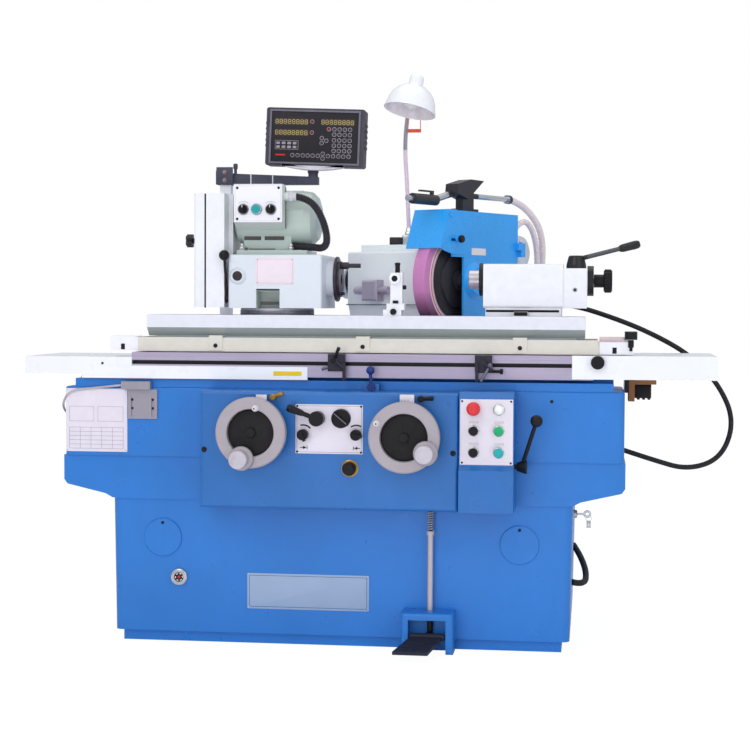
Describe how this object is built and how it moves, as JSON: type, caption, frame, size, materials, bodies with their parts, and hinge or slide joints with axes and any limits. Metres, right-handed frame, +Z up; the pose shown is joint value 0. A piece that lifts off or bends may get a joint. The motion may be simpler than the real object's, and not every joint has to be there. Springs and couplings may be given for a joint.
{
  "type": "cylindrical grinder",
  "caption": "Universal cylindrical grinder: cast bed with sliding swivel table, workhead, tailstock, swivelling wheelhead with guarded wheel, handwheels, readout and foot pedal.",
  "frame": {"origin": "on the floor under the middle of the bed's base", "axes": "+X to the right along the table, +Y to the back, +Z up"},
  "size_m": [2.1784, 1.3263, 1.791],
  "materials": {
    "bed_blue": "smooth satin enamel",
    "guard_blue": "smooth satin enamel",
    "head_green": "hammered pale green enamel",
    "white_paint": "smooth white enamel",
    "cream_paint": "smooth cream enamel",
    "table_steel": "ground",
    "bright_steel": "ground",
    "handwheel_metal": "turned and polished",
    "black_steel": "black oxide",
    "black_plastic": "moulded",
    "console_grey": "fine moulded texture",
    "brass_knob": "turned",
    "red_plastic": "moulded",
    "green_plastic": "moulded",
    "teal_plastic": "moulded",
    "wheel_grit": "bonded abrasive",
    "pipe_metal": "plated",
    "clear_hose": "clear ribbed vinyl",
    "lamp_metal": "spun",
    "black_rubber": "ribbed",
    "grey_lead": "smooth sheath"
  },
  "bodies": {
    "bed": {"bed_casting": "bed_blue", "apron_box": "bed_blue", "electric_box": "bed_blue", "pedal_guard": "bed_blue", "pedal_spring": "bright_steel", "piston_rod": "bright_steel", "readout_post": "white_paint", "conduits": "black_rubber", "reader_lead": "grey_lead", "scale_reader": "bright_steel"},
    "table": {"lower_table": "table_steel", "trip_dogs": "black_steel", "way_covers": "white_paint"},
    "swivel_table": {"swivel_table": "cream_paint", "table_trough": "cream_paint", "dresser_stand": "bright_steel"},
    "tailstock": {"tailstock_body": "white_paint"},
    "workhead": {"workhead_body": "head_green", "belt_cover": "head_green", "work_motor": "head_green", "work_control_box": "head_green", "work_conduit": "black_rubber"},
    "wheelhead": {"wheelhead_body": "head_green", "wheel_drive": "head_green", "wheel_guard": "guard_blue", "coolant_pipes": "pipe_metal", "coolant_hoses": "clear_hose", "work_lamp": "lamp_metal", "internal_spindle": "bright_steel"},
    "wheel_spindle": {"wheel_spindle": "bright_steel", "grinding_wheel": "wheel_grit"},
    "tail_quill": {"tail_quill": "bright_steel"},
    "tail_lever": {"tail_lever": "black_steel"},
    "tail_knob": {"tail_knob": "black_plastic"},
    "work_spindle": {"work_spindle": "bright_steel"},
    "selector_left": {"selector_left": "black_plastic"},
    "selector_right": {"selector_right": "black_plastic"},
    "jog_button": {"jog_button": "teal_plastic"},
    "workhead_lever": {"workhead_lever": "black_steel"},
    "cross_slide": {"cross_slide": "head_green"},
    "guard_door": {"guard_door": "guard_blue"},
    "guard_hood": {"guard_hood": "guard_blue"},
    "table_handwheel": {"table_handwheel": "handwheel_metal"},
    "infeed_handwheel": {"infeed_handwheel": "handwheel_metal"},
    "start_lever": {"start_lever": "black_steel"},
    "speed_knob": {"speed_knob": "black_plastic"},
    "dwell_knob_left": {"dwell_knob_left": "black_plastic"},
    "dwell_knob_right": {"dwell_knob_right": "black_plastic"},
    "oil_knob": {"oil_knob": "brass_knob"},
    "reverse_lever": {"reverse_lever": "black_steel"},
    "rapid_lever": {"rapid_lever": "black_steel"},
    "estop_button": {"estop_button": "red_plastic"},
    "button_black_upper": {"button_black_upper": "black_plastic"},
    "button_black_lower": {"button_black_lower": "black_plastic"},
    "button_green": {"button_green": "green_plastic"},
    "button_teal": {"button_teal": "teal_plastic"},
    "foot_pedal": {"foot_pedal": "black_steel"},
    "pedal_rod": {"pedal_rod": "bright_steel"},
    "readout_arm": {"readout_arm": "black_steel"},
    "readout_console": {"readout_console": "console_grey"}
  },
  "joints": [
    {"name": "table_traverse", "type": "slide", "parent": "bed", "child": "table", "axis": [1, 0, 0], "range_m": [-0.285, 0.05]},
    {"name": "table_swivel", "type": "hinge", "parent": "table", "child": "swivel_table", "pos_m": [0.066, -0.305, 0.89], "axis": [0, 0, 1], "range_deg": [-3, 6]},
    {"name": "tailstock_shift", "type": "slide", "parent": "swivel_table", "child": "tailstock", "axis": [1, 0, 0], "range_m": [-0.04, 0]},
    {"name": "quill_retract", "type": "slide", "parent": "tailstock", "child": "tail_quill", "axis": [1, 0, 0], "range_m": [0, 0.0236], "stiffness_N_per_m": 2000, "springref_m": -0.05},
    {"name": "tail_lever_swing", "type": "hinge", "parent": "tailstock", "child": "tail_lever", "pos_m": [0.705, -0.2928, 1.164], "axis": [0, 0, -1], "range_deg": [0, 76]},
    {"name": "tail_knob_turn", "type": "hinge", "parent": "tailstock", "child": "tail_knob", "pos_m": [0.738, -0.245, 1.114], "axis": [1, 0, 0], "continuous": true},
    {"name": "workhead_swivel", "type": "hinge", "parent": "swivel_table", "child": "workhead", "pos_m": [-0.225, -0.245, 1.026], "axis": [0, 0, 1], "range_deg": [0, 90]},
    {"name": "work_spindle_turn", "type": "hinge", "parent": "workhead", "child": "work_spindle", "pos_m": [-0.048, -0.245, 1.117], "axis": [1, 0, 0], "continuous": true},
    {"name": "selector_left_turn", "type": "hinge", "parent": "workhead", "child": "selector_left", "pos_m": [-0.302, -0.4, 1.326], "axis": [0, 1, 0], "range_deg": [-45, 45]},
    {"name": "selector_right_turn", "type": "hinge", "parent": "workhead", "child": "selector_right", "pos_m": [-0.217, -0.4, 1.326], "axis": [0, 1, 0], "range_deg": [-45, 45]},
    {"name": "jog_push", "type": "slide", "parent": "workhead", "child": "jog_button", "axis": [0, 1, 0], "range_m": [0, 0.004], "stiffness_N_per_m": 400, "springref_m": -0.01},
    {"name": "workhead_clamp", "type": "hinge", "parent": "workhead", "child": "workhead_lever", "pos_m": [-0.355, -0.345, 1.056], "axis": [1, 0, 0], "range_deg": [0, 40]},
    {"name": "wheel_infeed", "type": "slide", "parent": "bed", "child": "cross_slide", "axis": [0, -1, 0], "range_m": [-0.1, 0.06]},
    {"name": "wheelhead_swivel", "type": "hinge", "parent": "cross_slide", "child": "wheelhead", "pos_m": [0.127, 0.166, 0.93], "axis": [0, 0, 1], "range_deg": [0, 60]},
    {"name": "wheel_turn", "type": "hinge", "parent": "wheelhead", "child": "wheel_spindle", "pos_m": [0.097, 0.114, 1.117], "axis": [0.866, -0.5, 0], "continuous": true},
    {"name": "guard_door_open", "type": "hinge", "parent": "wheelhead", "child": "guard_door", "pos_m": [0.51414, 0.24155, 1.13], "axis": [0, 0, 1], "range_deg": [0, 28]},
    {"name": "guard_hood_lift", "type": "hinge", "parent": "wheelhead", "child": "guard_hood", "pos_m": [0.05, 0.0326, 1.324], "axis": [-0.866, 0.5, 0], "range_deg": [0, 20]},
    {"name": "table_handwheel_turn", "type": "hinge", "parent": "bed", "child": "table_handwheel", "pos_m": [-0.228, -0.575, 0.664], "axis": [0, 1, 0], "continuous": true},
    {"name": "infeed_handwheel_turn", "type": "hinge", "parent": "bed", "child": "infeed_handwheel", "pos_m": [0.221, -0.575, 0.656], "axis": [0, 1, 0], "continuous": true},
    {"name": "start_lever_turn", "type": "hinge", "parent": "bed", "child": "start_lever", "pos_m": [-0.042, -0.575, 0.704], "axis": [0, 1, 0], "range_deg": [0, 60]},
    {"name": "speed_knob_turn", "type": "hinge", "parent": "bed", "child": "speed_knob", "pos_m": [0.029, -0.575, 0.705], "axis": [0, 1, 0], "range_deg": [-135, 135]},
    {"name": "dwell_left_turn", "type": "hinge", "parent": "bed", "child": "dwell_knob_left", "pos_m": [-0.085, -0.575, 0.656], "axis": [0, 1, 0], "range_deg": [-135, 135]},
    {"name": "dwell_right_turn", "type": "hinge", "parent": "bed", "child": "dwell_knob_right", "pos_m": [0.073, -0.575, 0.657], "axis": [0, 1, 0], "range_deg": [-135, 135]},
    {"name": "oil_knob_turn", "type": "hinge", "parent": "bed", "child": "oil_knob", "pos_m": [0.054, -0.575, 0.558], "axis": [0, 1, 0], "range_deg": [-135, 135]},
    {"name": "reverse_lever_rock", "type": "hinge", "parent": "bed", "child": "reverse_lever", "pos_m": [0.104, -0.48, 0.793], "axis": [0, 1, 0], "range_deg": [-12, 12]},
    {"name": "rapid_lever_rock", "type": "hinge", "parent": "bed", "child": "rapid_lever", "pos_m": [0.533, -0.53, 0.567], "axis": [1, 0, 0], "range_deg": [-25, 25]},
    {"name": "estop_button_push", "type": "slide", "parent": "bed", "child": "estop_button", "axis": [0, 1, 0], "range_m": [0, 0.005], "stiffness_N_per_m": 400, "springref_m": -0.01},
    {"name": "button_black_upper_push", "type": "slide", "parent": "bed", "child": "button_black_upper", "axis": [0, 1, 0], "range_m": [0, 0.005], "stiffness_N_per_m": 400, "springref_m": -0.01},
    {"name": "button_black_lower_push", "type": "slide", "parent": "bed", "child": "button_black_lower", "axis": [0, 1, 0], "range_m": [0, 0.005], "stiffness_N_per_m": 400, "springref_m": -0.01},
    {"name": "button_green_push", "type": "slide", "parent": "bed", "child": "button_green", "axis": [0, 1, 0], "range_m": [0, 0.005], "stiffness_N_per_m": 400, "springref_m": -0.01},
    {"name": "button_teal_push", "type": "slide", "parent": "bed", "child": "button_teal", "axis": [0, 1, 0], "range_m": [0, 0.005], "stiffness_N_per_m": 400, "springref_m": -0.01},
    {"name": "pedal_press", "type": "hinge", "parent": "bed", "child": "foot_pedal", "pos_m": [0.281, -0.49, 0.05], "axis": [1, 0, 0], "range_deg": [0, 7], "stiffness_Nm_per_rad": 30, "springref_deg": -14.32},
    {"name": "pedal_rod_rise", "type": "slide", "parent": "bed", "child": "pedal_rod", "axis": [0, 0, 1], "range_m": [0, 0.005], "deforming": ["pedal_spring"]},
    {"name": "readout_arm_swing", "type": "hinge", "parent": "bed", "child": "readout_arm", "pos_m": [-0.437, -0.021, 1.445], "axis": [0, 0, 1], "range_deg": [-75, 10]},
    {"name": "readout_console_turn", "type": "hinge", "parent": "readout_arm", "child": "readout_console", "pos_m": [-0.15, -0.021, 1.482], "axis": [0, 0, 1], "range_deg": [-25, 25]}
  ],
  "couplings": [
    {"joint": "tail_lever_swing", "follows": "quill_retract", "rad_per_m": 55.556},
    {"joint": "table_handwheel_turn", "follows": "table_traverse", "rad_per_m": 418.88},
    {"joint": "infeed_handwheel_turn", "follows": "wheel_infeed", "rad_per_m": 1256.6},
    {"joint": "pedal_rod_rise", "follows": "pedal_press", "m_per_rad": 0.04}
  ]
}
